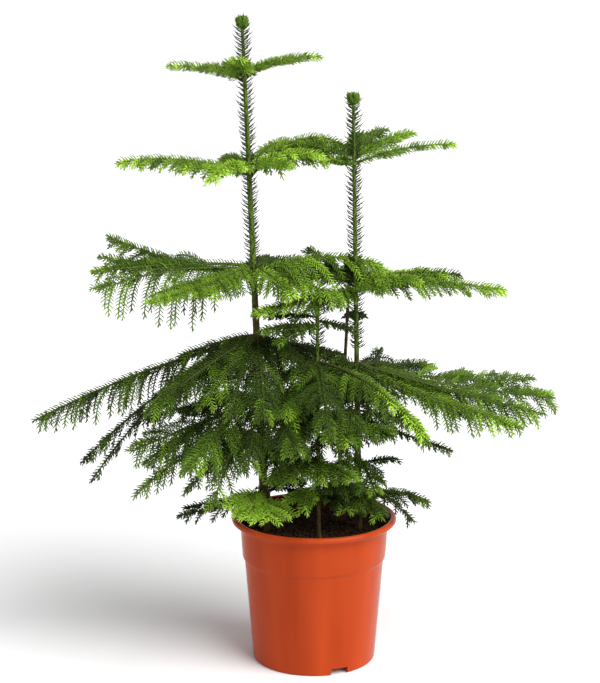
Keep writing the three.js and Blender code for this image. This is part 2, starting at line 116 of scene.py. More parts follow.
# Stems and their whorls from the top down, as in the part's source. Lesser boughs stand only here, and fill
# the whorls up within the reach of the others. Whorls of lesser boughs alone come last on their stem. wing is
# the longest side twig as a share of the reach, droop how far the side twigs hang, limbs how many of the
# boughs, from the first, have a separate inner limb, and green_from the height where brown bark turns green.
STEMS = [
    {
        "name": "left", "foot": (-62, 4), "tip": (-88.5, 4, 815), "foot_radius": 6,
        "leader_from": 468, "green_from": 480,
        "tiers": [
            {"height": 741, "wing": 0.26, "droop": 0.1, "boughs": [
                Bough(181, 86, 24, 17, 3, wing=0.22),
                Bough(262, 42, 40, 20, 3, wing=0.2),
                Bough(2, 85, 24, 18, 3),
                Bough(105, 70, 28, 20, 2)],
             "lesser": [
                Bough(150, 54, 24, 10, 3, wing=0.2),
                Bough(28, 60, 26, 13, 3)]},
            {"height": 626, "wing": 0.26, "droop": 0.35, "boughs": [
                Bough(180, 156, 20, 15, 3, droop=0.45),
                Bough(243, 88, 28, -4, 4),
                Bough(352, 86, 27, 15, 4),
                Bough(18, 132, 48, 24, 3, wing=0.36, droop=0.8),
                Bough(108, 110, 20, 4, 2)],
             "lesser": [
                Bough(318, 62, 20, 6, 3),
                Bough(32, 108, 44, 22, 3, wing=0.4),
                Bough(4, 90, 34, 12, 3, wing=0.36, droop=0.6),
                Bough(50, 76, 40, 26, 3, wing=0.4),
                Bough(205, 84, 28, 10, 3, wing=0.34)]},
            {"height": 503, "wing": 0.38, "droop": 0.5, "boughs": [
                Bough(170, 182, 3, 42, 2, wing=0.32, droop=0.4, bare=0.35),
                Bough(195, 190, 9, -18, 2, roll=-30, wing=0.32, droop=0.8, bare=0.15),
                Bough(228, 168, -13, -24, 3, wing=0.22, droop=0.15),
                Bough(8, 154, 23, 9, 3, wing=0.45, droop=0.65),
                Bough(80, 110, 10, -4, 1)],
             "lesser": [
                Bough(312, 70, -20, -27, 3, wing=0.5),
                Bough(338, 112, 0, -26, 3, wing=0.4),
                Bough(218, 140, -2, -16, 3, wing=0.2),
                Bough(188, 192, 6, -5, 2, roll=-20, wing=0.26, droop=0.4, bare=0.5),
                Bough(180, 186, 3, 20, 2, roll=-10, wing=0.24, droop=0.3, bare=0.6, clad=0.6),
                Bough(240, 104, -8, -16, 3, wing=0.3),
                Bough(50, 84, 6, -2, 1, wing=0.36)]},
            {"height": 415, "wing": 0.34, "droop": 0.6, "limbs": 2, "boughs": [
                Bough(190, 217, -18, -145, 0, wing=0.18, bare=0.5, lost=0.35),
                Bough(183, 274, -13, -101, 1, wing=0.2, droop=1, bare=0.25, lost=0.35),
                Bough(218, 156, -22, -73, 1, bare=0.25),
                Bough(275, 130, -5, -65, 1),
                Bough(35, 109, -9, -30, 0)],
             "lesser": [
                Bough(202, 118, -26, -68, 2, wing=0.4, lost=0.25),
                Bough(194, 104, -14, -41, 2, wing=0.36, lost=0.25),
                Bough(200, 118, -24, -62, 2, wing=0.42),
                Bough(238, 110, -26, -66, 2, wing=0.4, lost=0.35),
                Bough(255, 110, -10, -68, 1),
                Bough(300, 70, -34, -84, 1, wing=0.5),
                Bough(330, 80, -11, -46, 1, wing=0.45),
                Bough(10, 104, -3, -18, 0, wing=0.4),
                Bough(350, 96, -16, -44, 1, wing=0.4),
                Bough(192, 206, -18, -178, 0, wing=0.18, bare=0.6, lost=0.35, clad=0.5),
                Bough(198, 118, -10, -55, 2, wing=0.42, lost=0.35),
                Bough(206, 124, -14, -72, 1, wing=0.42, lost=0.35),
                Bough(186, 90, -8, -24, 1, wing=0.4, lost=0.3),
                Bough(75, 96, -8, -24, 1, wing=0.4),
                Bough(115, 104, -10, -30, 1, wing=0.4)]},
            {"height": 338, "wing": 0.38, "droop": 0.5, "boughs": [
                Bough(195, 158, -16, -52, 2, roll=-25, wing=0.42, bare=0.2, lost=0.3),
                Bough(238, 146, -7, -58, 2, bare=0.3),
                Bough(290, 131, -3, -39, 1),
                Bough(120, 150, 5, -27, 0)],
             "lesser": [
                Bough(20, 104, 5, 3, 0),
                Bough(184, 134, -6, -26, 1, wing=0.34),
                Bough(265, 120, 0, -52, 1),
                Bough(310, 80, -20, -33, 1, wing=0.45),
                Bough(340, 78, -14, -27, 1, wing=0.45),
                Bough(188, 140, -14, -72, 1, wing=0.34, bare=0.35),
                Bough(75, 90, 0, -14, 0, wing=0.4)]},
            {"height": 283, "wing": 0.38, "droop": 0.45, "boughs": [
                Bough(200, 161, 16, -52, 2, roll=-15, wing=0.22),
                Bough(246, 134, 26, -50, 2, wing=0.32)],
             "lesser": [
                Bough(231, 132, 7, -40, 1, wing=0.22),
                Bough(290, 80, 0, -27, 2, wing=0.45),
                Bough(320, 68, 0, -28, 1, wing=0.45),
                Bough(120, 110, 0, -19, 0),
                Bough(60, 84, 0, -14, 0, wing=0.4)]},
            # This whorl's boughs take the brightest tone: partly young growth, partly painted light, as they
            # lie in the crown's shade.
            {"height": 213, "wing": 0.62, "droop": 0.15, "boughs": [
                Bough(275, 58, 4, -8, 5, wing=0.8)],
             "lesser": [
                Bough(60, 80, 10, 0, 0, wing=0.4),
                Bough(228, 54, 4, -8, 5, wing=0.5),
                Bough(252, 56, 6, -6, 5, wing=0.5)]},
            {"height": 212, "wing": 0.28, "droop": 0.4, "boughs": [
                Bough(186, 102, -8, -19, 0, wing=0.36, lost=0.2)],
             "lesser": [
                Bough(180, 96, -6, -17, 0, wing=0.26, lost=0.55)]},
        ],
    },
    {
        "name": "right", "foot": (58, 10), "tip": (47, 8, 723), "foot_radius": 4,
        "leader_from": 400, "green_from": 390,
        "tiers": [
            {"height": 640, "wing": 0.25, "droop": 0.2, "boughs": [
                Bough(0, 117, 22, 23, 3, wing=0.2),
                Bough(42, 92, 26, 28, 3),
                Bough(175, 52, 20, 14, 2, wing=0.16),
                Bough(235, 38, 14, 7, 2, wing=0.18)],
             "lesser": [
                Bough(62, 72, 34, 32, 2),
                Bough(82, 60, 28, 22, 2)]},
            {"height": 484, "wing": 0.32, "droop": 0.3, "boughs": [
                Bough(355, 180, 10, 0, 3, roll=4, wing=0.24),
                Bough(28, 110, 12, 6, 4, wing=0.4),
                Bough(125, 118, 8, 10, 1),
                Bough(205, 132, -7, -21, 3)],
             "lesser": [
                Bough(300, 60, 8, 0, 2),
                Bough(175, 90, 10, 6, 2, wing=0.4),
                Bough(222, 70, -8, -18, 2, wing=0.5),
                Bough(10, 112, 16, 8, 3, wing=0.36),
                Bough(338, 80, 10, 4, 3, wing=0.36),
                Bough(60, 72, 20, 14, 3, wing=0.4),
                Bough(95, 60, 20, 14, 2, wing=0.4),
                Bough(14, 132, 12, 2, 1, roll=10, wing=0.24, bare=0.5, lost=0.5, clad=0.6)]},
            {"height": 377, "wing": 0.36, "droop": 0.35, "limbs": 2, "boughs": [
                Bough(338, 210, -16, -53, 3, roll=12, wing=0.22, droop=0.4, bare=0.38),
                Bough(2, 245, -13, -40, 2, roll=20, wing=0.3, droop=0.4, bare=0.28, lost=0.25),
                Bough(45, 126, -11, -17, 1),
                Bough(130, 110, 0, 0, 0),
                Bough(228, 144, -3, -38, 2)],
             "lesser": [
                Bough(265, 130, 0, -53, 1),
                Bough(75, 145, -13, 1, 0, lost=0.3),
                Bough(300, 70, -34, -70, 1, wing=0.5),
                Bough(245, 108, 3, -51, 1),
                Bough(180, 80, -9, -22, 1, wing=0.5),
                Bough(11, 230, -12, -24, 2, roll=22, wing=0.26, droop=0.4, bare=0.5, lost=0.3, clad=0.1),
                Bough(349, 228, -15, -54, 2, roll=16, wing=0.24, droop=0.4, bare=0.5, lost=0.3, clad=0.1),
                Bough(350, 112, -16, -24, 2, wing=0.3),
                Bough(340, 130, -20, -48, 2, wing=0.3),
                Bough(180, 36, 24, 12, 1, wing=0.6),
                Bough(18, 104, -14, -26, 1, wing=0.4),
                Bough(105, 100, -8, -16, 0, wing=0.4)]},
            {"height": 316, "wing": 0.36, "droop": 0.45, "boughs": [
                Bough(335, 121, -13, -28, 0, wing=0.17, droop=0.2, lost=0.4)],
             "lesser": [
                Bough(290, 96, -3, -5, 1),
                Bough(200, 87, 0, -17, 1, wing=0.45),
                Bough(260, 100, 0, -21, 1),
                Bough(230, 90, -12, -34, 1),
                Bough(20, 76, -12, -18, 1),
                Bough(95, 90, -6, -12, 0, wing=0.4),
                Bough(130, 96, -6, -14, 0, wing=0.4)]},
            {"height": 212, "wing": 0.42, "droop": 0.35, "boughs": [
                Bough(350, 80, 24, 0, 1, wing=0.46, lost=0.3),
                Bough(318, 80, 22, -18, 0, wing=0.24, lost=0.4)],
             "lesser": [
                Bough(255, 70, 0, -5, 1),
                Bough(160, 90, 5, 0, 0),
                Bough(285, 70, 0, -8, 1),
                Bough(225, 70, 0, 6, 1),
                Bough(110, 76, 6, 0, 0, wing=0.4)]},
            {"height": 257, "wing": 0.45, "droop": 0.3, "boughs": [],
             "lesser": [
                Bough(345, 44, 24, 10, 0, wing=0.3, lost=0.5),
                Bough(285, 68, 0, -20, 1),
                Bough(240, 70, 0, -10, 2)]},
        ],
    },
    {
        "name": "front", "foot": (6, -32), "tip": (3, -30, 480), "foot_radius": 2.4,
        "leader_from": 395, "green_from": 380,
        "tiers": [
            {"height": 444, "wing": 0.4, "droop": 0.3, "boughs": [
                Bough(190, 64, 6, -4, 1)],
             "lesser": [
                Bough(340, 40, -2, -6, 0, wing=0.35, lost=0.5),
                Bough(160, 60, 6, 0, 0),
                Bough(215, 56, 0, -14, 1)]},
            {"height": 388, "wing": 0.36, "droop": 0.5, "boughs": [
                Bough(312, 188, 11, -58, 2, wing=0.17, droop=0.8, bare=0.25),
                Bough(275, 130, 0, -56, 1)],
             "lesser": [
                Bough(311, 188, 1, -59, 4, wing=0.1, bare=0.6, clad=0.56),
                Bough(235, 65, 0, -68, 2, wing=0.5),
                Bough(175, 66, 0, -31, 1, wing=0.5)]},
            {"height": 330, "wing": 0.4, "droop": 0.5, "boughs": [
                Bough(330, 104, -8, -8, 2)],
             "lesser": [
                Bough(290, 106, 0, -12, 2),
                Bough(215, 60, 0, -51, 1, wing=0.5),
                Bough(250, 70, 0, -33, 1, wing=0.5)]},
            {"height": 270, "wing": 0.45, "droop": 0.4, "boughs": [],
             "lesser": [
                Bough(300, 77, 0, -1, 2),
                Bough(235, 56, 0, -12, 2),
                Bough(270, 60, 0, -18, 2),
                Bough(200, 60, 0, -16, 1)]},
            {"height": 234, "wing": 0.5, "droop": 0.3, "boughs": [],
             "lesser": [
                Bough(200, 37, 0, -8, 3),
                Bough(235, 28, 0, -20, 3),
                Bough(320, 60, 4, 4, 1),
                Bough(10, 56, 4, 0, 1)]},
        ],
    },
    {
        "name": "back", "foot": (30, 42), "tip": (46, 44, 515), "foot_radius": 2.6,
        "leader_from": 460, "green_from": 480,
        "tiers": [
            {"height": 490, "wing": 0.25, "droop": 0.3, "boughs": [
                Bough(150, 56, 36, 34, 1)]},
            {"height": 440, "wing": 0.25, "droop": 0.3, "boughs": [
                Bough(70, 44, 5, -2, 0)]},
            {"height": 330, "wing": 0.4, "droop": 0.5, "boughs": [
                Bough(95, 150, 0, 7, 0)],
             "lesser": [
                Bough(40, 90, 0, -6, 0),
                Bough(150, 80, 0, -6, 0)]},
        ],
    },
]
STEM = {"tip_radius": 1.8, "flare": 1, "flare_height": 14, "sides": 20, "ring_spacing": 3, "top_inset": 2,
        "green_spread": 50}
BOUGH = {"foot_radius": 1.3, "foot_radius_per_reach": 0.004, "tip_radius": 0.7, "levels": 3, "level_step": 5}
# Relief of the stems' bark, in shares of the radius: furrows, scars in a spiral, and a collar at each whorl.
STEM_RELIEF = {"round_scale": 1.4, "height_scale": 0.06, "furrow": 0.07, "fine_furrow": 0.05, "fineness": 3.1,
               "scar": 0.05, "scars_round": 5, "scar_twist": 1.1, "scar_rows": 0.9,
               "collar": 0.22, "collar_height": 7}
# Inner limbs: the first share of a long bough, a little thicker than the twig in them, with bark relief.
LIMB = {"share": 0.28, "tip_radius": 1.1, "swell": 1.05, "rings": 40, "sides": 14,
        "grain_scale": 0.25, "round_scale": 1.5, "furrow": 0.16, "collar": 0.2, "collar_length": 3}
# Tubes of the boughs' axes and of their side twigs.
TUBES = {"axis": {"rings": 16, "sides": 7}, "twig": {"rings": 5, "sides": 3}}

# Side twigs: the rule of the source's sprays, carried to every real twig. The two rows of a bough alternate.
TWIG = {
    "spacing": 8.5,
    "fewest": 13,
    "shortest": 13,
    "last_share": 0.97,
    "stagger": 0.25,
    "needles_from": 0.06,
    "variation": 0.25,
    "foot_angle": 66,
    "tip_angle": 40,
    "angle_variation": 10,
    "foot_length": 0.55,
    "growth": 1.8,
    "tip_length": 0.1,
    "droop_draw": 0.4,
    "droop_fall": 0.8,
    "lift_ease": 1.2,
    "least_hang": 0.2,
    "most_hang": 1.3,
    "foot_radius": 0.75,
    "tip_radius": 0.4,
}
# Needles, in a spiral along each shoot: each turns from the last by an angle that brings them into rows.
# They lean in and shorten over the last stretch to the tip, and those of the darkest tone are shorter too. A
# needle is a three-sided awl that curves to its point.
NEEDLE = {"fewest": 4, "tip_angle": 24, "tip_size": 0.7, "closing": 7, "curl": 0.5, "variation": 0.2,
          "turn_variation": 14, "shaded": 0.7, "middle": 0.64, "middle_width": 1.2, "sides": 3}
NEEDLE_ON = {
    "leader": {"length": 14.5, "width": 1.35, "spacing": 0.75, "turn": 135, "angle": 80},
    "bud": {"length": 8.5, "width": 1.5, "spacing": 0.35, "turn": 137.5, "angle": 32},
    "axis": {"length": 9.5, "width": 1.4, "spacing": 0.9, "turn": 90, "angle": 68},
    "twig": {"length": 8.5, "width": 1.3, "spacing": 1, "turn": 90, "angle": 66},
}
BUD = {"foot": 18, "top": 7, "radius": 5, "shoots": 6}

# Tones of the needles, from old and dark to young and bright: sRGB colours out of 255. Besides age, a
# bough's tone holds painted shade and painted light: boughs deep in the crown's shade take darker tones, and
# boughs out in the light brighter ones.
TONES = [(42, 56, 19), (64, 86, 27), (88, 118, 33), (114, 148, 42), (146, 184, 56), (186, 228, 80)]
LEADER_TONES = {"leader": 0, "bud": 2}
# A spray is a tone younger past a share of its bough, and a tone older or younger by a low or a high draw.
TONE_DRIFT = {"young_from": 0.8, "older_below": 0.3, "younger_above": 0.8}

# Last keys of the draws, which keep draws for one seed apart.
KEY = {"needle_place": 1, "needle_size": 2, "needle_turn": 3, "tone": 3, "bark_edge": 5}
# Points that a curve's length is measured by.
LENGTH_POINTS = 12

# Noise between these two values runs from a material's first colour to its second.
NOISE_SPAN = (0.3, 0.7)

# Stage: a floor with its size in metres, a studio that is bright up to one height of its sky and dim from
# another, and one soft sun whose side is a direction away from the plant.
FLOOR = {"size": 60, "colour": (242, 242, 242)}
STUDIO = {"wall_to": 0.05, "ceiling_from": 0.5, "wall_strength": 1.05, "ceiling_strength": 0.4}
SUN = {"side": (0.75, -0.62, 0.9), "strength": 4.1, "spread": 50}


# Steady chance and curves


def chance(*keys):
    """A steady number from 0 to 1 for a set of keys, which may be arrays."""
    weights = (12.9898, 78.233, 37.719, 93.989)
    spread = 43758.5453
    wave = np.sin(sum(np.asarray(key, float) * weight for key, weight in zip(keys, weights))) * spread
    return wave - np.floor(wave)


def lerp(a, b, share):
    return a + (b - a) * share


def unit(vectors):
    return vectors / np.linalg.norm(vectors, axis=-1, keepdims=True)


def points_on(curve, shares):
    """Points of a parabola, given by its three control points, at an array of shares."""
    start, bend, end = curve
    t = shares[:, None]
    return (1 - t) ** 2 * start + 2 * t * (1 - t) * bend + t * t * end


def tangents_on(curve, shares):
    start, bend, end = curve
    t = shares[:, None]
    return unit((1 - t) * (bend - start) + t * (end - bend))


def length_of(curve):
    points = points_on(curve, np.linspace(0, 1, LENGTH_POINTS))
    return float(np.linalg.norm(np.diff(points, axis=0), axis=1).sum())


def turned_about(vector, axis, angle):
    """A vector turned about a unit axis by the right-hand rule."""
    along = axis * (vector @ axis)
    return along + (vector - along) * math.cos(angle) + np.cross(axis, vector) * math.sin(angle)


# Growth: the source's rule for stems, boughs and side twigs


@dataclass
class Shoot:
    """A thin limb along a parabola, with needles from one share of it to its tip."""
    curve: tuple
    guide: np.ndarray
    foot_radius: float
    tip_radius: float
    kind: str
    tone: int
    seed: float
    needles_from: float


def stem_share_at(stem, height):
    return (height - STEM_FOOT) / (stem["tip"][2] - STEM_FOOT)


def stem_point(stem, share):
    foot = np.array([*stem["foot"], STEM_FOOT], float)
    return lerp(foot, np.array(stem["tip"], float), share)


def stem_radius_at(stem, share):
    height = share * (stem["tip"][2] - STEM_FOOT)
    flare = STEM["flare"] * math.exp(-height / STEM["flare_height"])
    return lerp(stem["foot_radius"], STEM["tip_radius"], share) + flare


def bough_foot_radius(reach):
    return BOUGH["foot_radius"] + BOUGH["foot_radius_per_reach"] * reach


def boughs_of(tier):
    return tier["boughs"] + tier.get("lesser", [])


def bough_curve(stem, tier, index):
    """Control points of a bough: its root beside the stem, its bend at the rise, and its tip."""
    bough = boughs_of(tier)[index]
    reach = bough.reach
    level = index % BOUGH["levels"] - (BOUGH["levels"] - 1) / 2
    share = stem_share_at(stem, tier["height"] + level * BOUGH["level_step"])
    outward = turned_about(RIGHT, UP, math.radians(bough.azimuth))
    rise = math.radians(bough.rise)
    clear = stem_radius_at(stem, share) + GAP + bough_foot_radius(reach) * abs(math.sin(rise))
    root = stem_point(stem, share) + outward * clear
    bend = root + outward * reach / 2 + UP * math.tan(rise) * reach / 2
    tip = root + outward * reach + UP * bough.lift
    return root, bend, tip


def twig_length_share(share):
    """How a twig's length depends on its place: it grows from the bough's foot and shrinks to its tip."""
    return min(1, TWIG["foot_length"] + TWIG["growth"] * share) * math.sqrt(1 - share) + TWIG["tip_length"]


def twig_curve(curve, tier, bough, share, side, seed):
    """A side twig: out and forward from the bough, then hanging by the droop of its bough or whorl."""
    at = np.array([share])
    root = points_on(curve, at)[0]
    forward = tangents_on(curve, at)[0]
    level = unit(np.cross(forward, UP))
    sideways = turned_about(level, forward, math.radians(bough.roll)) * side
    wander = TWIG["angle_variation"] * (2 * chance(seed, share, side) - 1)
    angle = math.radians(lerp(TWIG["foot_angle"], TWIG["tip_angle"], share) + wander)
    heading = forward * math.cos(angle) + sideways * math.sin(angle)
    scale = 1 + TWIG["variation"] * (2 * chance(seed, side, share) - 1)
    wing = bough.wing or tier["wing"]
    length = max(TWIG["shortest"], scale * wing * bough.reach * twig_length_share(share))
    ease = np.clip(1 - TWIG["lift_ease"] * sideways[2], TWIG["least_hang"], TWIG["most_hang"])
    hang = (bough.droop or tier["droop"]) * ease
    bend = root + heading * length / 2
    tip = root + heading * length * (1 - TWIG["droop_draw"] * hang) - UP * TWIG["droop_fall"] * length * hang
    return (root, bend, tip), forward


def tone_at(base, share, seed):
    """The tone of a spray: younger towards the tip of its bough, with some chance."""
    young = 1 if share > TONE_DRIFT["young_from"] else 0
    draw = chance(seed, share, KEY["tone"])
    older = 1 if draw < TONE_DRIFT["older_below"] else 0
    younger = 1 if draw > TONE_DRIFT["younger_above"] else 0
    return int(np.clip(base + young + younger - older, 0, len(TONES) - 1))


def grow_frond(stem, tier_number, index, seed):
    """The shoots of one frond: the bough's own axis, then its side twigs in two rows."""
    tier = stem["tiers"][tier_number]
    bough = boughs_of(tier)[index]
    curve = bough_curve(stem, tier, index)
    foot_radius = bough_foot_radius(bough.reach)
    shoots = [Shoot(curve, UP, foot_radius, BOUGH["tip_radius"], "axis", bough.tone, seed, bough.clad)]
    length = bough.reach * (1 - bough.bare)
    count = max(int(TWIG["fewest"] * (1 - bough.bare)), int(length / TWIG["spacing"]))
    for number in range(count):
        for side in (-1, 1):
            place = (number + 0.5 + TWIG["stagger"] * side) / count
            share = lerp(bough.bare, TWIG["last_share"], place)
            if chance(seed, number, side) < bough.lost:
                continue
            twig, forward = twig_curve(curve, tier, bough, share, side, seed)
            tone = tone_at(bough.tone, share, seed + side)
            radii = (TWIG["foot_radius"], TWIG["tip_radius"])
            own_seed = seed + number * side
            shoots.append(Shoot(twig, forward, *radii, "twig", tone, own_seed, TWIG["needles_from"]))
    return shoots


def leader_shoots(stem, seed):
    """The needle-clad top of a stem, with a tuft at its tip: a ring of short upright shoots."""
    height = stem["tip"][2]
    start, foot, top = [stem_point(stem, stem_share_at(stem, level))
                        for level in (stem["leader_from"], height - BUD["foot"], height - BUD["top"])]
    line = start, (start + top) / 2, top
    shoots = [Shoot(line, RIGHT, 0, 0, "leader", LEADER_TONES["leader"], seed, 0)]
    for number in range(BUD["shoots"]):
        outward = turned_about(RIGHT, UP, math.tau * number / BUD["shoots"]) * BUD["radius"]
        curve = foot, (foot + top) / 2 + outward, top + outward
        shoots.append(Shoot(curve, RIGHT, 0, 0, "bud", LEADER_TONES["bud"], seed + number, 0))
    return shoots


# Meshes from arrays


def add_piece(name, vertices, faces, materials, replaced=(), tones=None, smooth=True):
    """A mesh object from vertices in millimetres and faces that all have the same number of corners."""
    mesh = bpy.data.meshes.new(name)
    corners = faces.shape[1]
    mesh.vertices.add(len(vertices))
    mesh.vertices.foreach_set("co", (vertices * MM).astype(np.float32).ravel())
    mesh.loops.add(faces.size)
    mesh.loops.foreach_set("vertex_index", faces.astype(np.int32).ravel())
    mesh.polygons.add(len(faces))
    mesh.polygons.foreach_set("loop_start", np.arange(0, faces.size, corners, dtype=np.int32))
    mesh.polygons.foreach_set("use_smooth", np.full(len(faces), smooth))
    for material in materials:
        mesh.materials.append(material)
    if tones is not None:
        mesh.polygons.foreach_set("material_index", tones.astype(np.int32))
    mesh.update(calc_edges=True)
    mesh.validate()
    piece = bpy.data.objects.new(name, mesh)
    bpy.context.scene.collection.objects.link(piece)
    dress(piece, replaced)
    return piece


def dress(piece, replaced):
    """Puts a piece on the root body and hides the nodes it stands for."""
    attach(piece, "root")
    if replaced:
        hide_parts(*replaced)


def square_up(along, guide):
    """Two unit directions square to each tangent, the first of them towards the guide."""
    across = unit(guide - (along @ guide)[:, None] * along)
    return across, np.cross(across, along)


def needle_vertices(shoot):
    """Needles of a shoot as an array of n x 7 x 3: three corners at the root, three at the middle, and
    the tip."""
    make = NEEDLE_ON[shoot.kind]
    length = length_of(shoot.curve)
    count = max(NEEDLE["fewest"], int(length * (1 - shoot.needles_from) / make["spacing"]))
    numbers = np.arange(count)
    jitter = chance(numbers, shoot.seed, KEY["needle_place"])
    shares = np.clip(lerp(shoot.needles_from, 1, (numbers + jitter) / count), 0, 1)
    roots = points_on(shoot.curve, shares)
    along = tangents_on(shoot.curve, shares)
    across, over = square_up(along, shoot.guide)
    wander = NEEDLE["turn_variation"] * (2 * chance(numbers, shoot.seed, KEY["needle_turn"]) - 1)
    turn = np.radians(make["turn"] * numbers + wander)[:, None]
    outward = across * np.cos(turn) + over * np.sin(turn)
    to_tip = length * (1 - shares)
    openness = np.clip(to_tip / NEEDLE["closing"], 0, 1)
    lean = np.radians(lerp(NEEDLE["tip_angle"], make["angle"], openness))[:, None]
    heading = along * np.cos(lean) + outward * np.sin(lean)
    growth = NEEDLE["variation"] * (2 * chance(numbers, shoot.seed, KEY["needle_size"]) - 1)
    size = make["length"] * (1 + growth)
    if shoot.tone == 0 and shoot.kind != "leader":
        size = size * NEEDLE["shaded"]
    size = (size * lerp(NEEDLE["tip_size"], 1, openness))[:, None]
    bend = roots + heading * size / 2
    tips = roots + unit(heading + along * NEEDLE["curl"]) * size
    t = NEEDLE["middle"]
    middles = (1 - t) ** 2 * roots + 2 * t * (1 - t) * bend + t * t * tips
    breadth = unit(along - heading * np.cos(lean))
    depth = np.cross(heading, breadth)
    turns = np.arange(NEEDLE["sides"]) * math.tau / NEEDLE["sides"]
    ring = breadth[:, None] * np.cos(turns)[:, None] + depth[:, None] * np.sin(turns)[:, None]
    ring *= make["width"] / 2
    corners = [roots[:, None] + ring, middles[:, None] + ring * NEEDLE["middle_width"], tips[:, None]]
    return np.concatenate(corners, axis=1)


# Faces of a needle, by the numbers of its corners: two for each side of the lower half, then the point.
NEEDLE_FACES = np.array([
    (0, 1, 4), (0, 4, 3), (1, 2, 5), (1, 5, 4), (2, 0, 3), (2, 3, 5), (3, 4, 6), (4, 5, 6), (5, 3, 6)])


def add_needles(name, shoots, replaced=()):
    """The needles of all the shoots, joined, each shoot's in its own tone."""
    blocks = [needle_vertices(shoot) for shoot in shoots]
    vertices = np.concatenate(blocks)
    count, corners = vertices.shape[:2]
    faces = (NEEDLE_FACES[None] + corners * np.arange(count)[:, None, None]).reshape(-1, 3)
    tones = np.repeat([shoot.tone for shoot in shoots], [len(NEEDLE_FACES) * len(block) for block in blocks])
    add_piece(name, vertices.reshape(-1, 3), faces, NEEDLE_MATERIALS, replaced, tones)


def tube_vertices(shoot, rings, sides):
    """A thin tapering tube as an array of rings x sides x 3."""
    shares = np.linspace(0, 1, rings)
    centres = points_on(shoot.curve, shares)
    across, over = square_up(tangents_on(shoot.curve, shares), shoot.guide)
    turns = np.arange(sides) * math.tau / sides
    circle = across[:, None] * np.cos(turns)[:, None] + over[:, None] * np.sin(turns)[:, None]
    radii = lerp(shoot.foot_radius, shoot.tip_radius, shares)[:, None, None]
    return centres[:, None] + circle * radii


def tube_faces(rings, sides):
    """Four-cornered faces of a tube, whose corners are numbered ring by ring."""
    ring, side = np.meshgrid(np.arange(rings - 1), np.arange(sides), indexing="ij")
    after = (side + 1) % sides
    low, high = ring * sides, (ring + 1) * sides
    return np.stack([low + side, low + after, high + after, high + side], axis=-1).reshape(-1, 4)


def add_twigs(name, shoots, replaced):
    """Tubes of the axes and side twigs, joined."""
    vertices, faces, start = [], [], 0
    for shoot in shoots:
        tube = tube_vertices(shoot, **TUBES[shoot.kind]).reshape(-1, 3)
        vertices.append(tube)
        faces.append(tube_faces(**TUBES[shoot.kind]) + start)
        start += len(tube)
    add_piece(name, np.concatenate(vertices), np.concatenate(faces), [TWIG_BARK], replaced)


# Materials


def linear(colour):
    """An sRGB colour out of 255 as linear values with full alpha."""
    shares = [value / 255 for value in colour]
    return (*[s / 12.92 if s <= 0.04045 else ((s + 0.055) / 1.055) ** 2.4 for s in shares], 1)


def new_material(name, colour, roughness, specular):
    """A material of one colour, with its node tree and its shader."""
    material = bpy.data.materials.new(name)
    material.use_nodes = True
    shader = material.node_tree.nodes["Principled BSDF"]
    shader.inputs["Base Color"].default_value = linear(colour)
    shader.inputs["Roughness"].default_value = roughness
    shader.inputs["Specular IOR Level"].default_value = specular
    return material, material.node_tree, shader


def add_noise(tree, scale, detail, stretch=(1, 1, 1)):
    """Noise in object space, in cycles a metre, drawn out along an axis where its stretch is below 1."""
    place = tree.nodes.new("ShaderNodeTexCoord")
    mapping = tree.nodes.new("ShaderNodeMapping")
    mapping.inputs["Scale"].default_value = stretch
    texture = tree.nodes.new("ShaderNodeTexNoise")
    texture.inputs["Scale"].default_value = scale
    texture.inputs["Detail"].default_value = detail
    tree.links.new(place.outputs["Object"], mapping.inputs["Vector"])
    tree.links.new(mapping.outputs["Vector"], texture.inputs["Vector"])
    return texture.outputs["Fac"]


def ramp(tree, factor, low, high):
    """A colour that runs from low to high with the noise."""
    node = tree.nodes.new("ShaderNodeValToRGB")
    for element, position, colour in zip(node.color_ramp.elements, NOISE_SPAN, (low, high)):
        element.position = position
        element.color = colour
    tree.links.new(factor, node.inputs["Fac"])
    return node.outputs["Color"]


def bump(tree, shader, height, strength, distance):
    """Relief in the shading, with its depth in metres."""
    node = tree.nodes.new("ShaderNodeBump")
    node.inputs["Strength"].default_value = strength
    node.inputs["Distance"].default_value = distance
    tree.links.new(height, node.inputs["Height"])
    tree.links.new(node.outputs["Normal"], shader.inputs["Normal"])


def grey(value):
    return (value, value, value, 1)


def bark_material(name, dark, light, relief):
    """Bark with a grain drawn out along the stem."""
    material, tree, shader = new_material(name, light, roughness=0.75, specular=0.3)
    grain = add_noise(tree, scale=420, detail=6, stretch=(1, 1, 0.25))
    tree.links.new(ramp(tree, grain, linear(dark), linear(light)), shader.inputs["Base Color"])
    bump(tree, shader, grain, strength=relief, distance=0.001)
    return material


def pot_material(name, dark, light):
    """Moulded plastic with faint upright streaks, an uneven gloss and a fine grain."""
    material, tree, shader = new_material(name, light, roughness=0.3, specular=0.08)
    streaks = add_noise(tree, scale=24, detail=3, stretch=(1, 1, 0.08))
    tint = ramp(tree, streaks, linear(dark), linear(light))
    tree.links.new(tint, shader.inputs["Base Color"])
    gloss = ramp(tree, add_noise(tree, scale=60, detail=5), low=grey(0.2), high=grey(0.27))
    tree.links.new(gloss, shader.inputs["Roughness"])
    bump(tree, shader, add_noise(tree, scale=1400, detail=2), strength=0.02, distance=0.0004)
    return material


def soil_material():
    """Damp potting mix, dark with paler crumbs."""
    material, tree, shader = new_material("potting_mix", (34, 23, 14), roughness=0.95, specular=0.15)
    crumbs = add_noise(tree, scale=260, detail=8)
    tint = ramp(tree, crumbs, linear((24, 15, 9)), linear((80, 56, 36)))
    tree.links.new(tint, shader.inputs["Base Color"])
    bump(tree, shader, crumbs, strength=0.8, distance=0.002)
    return material


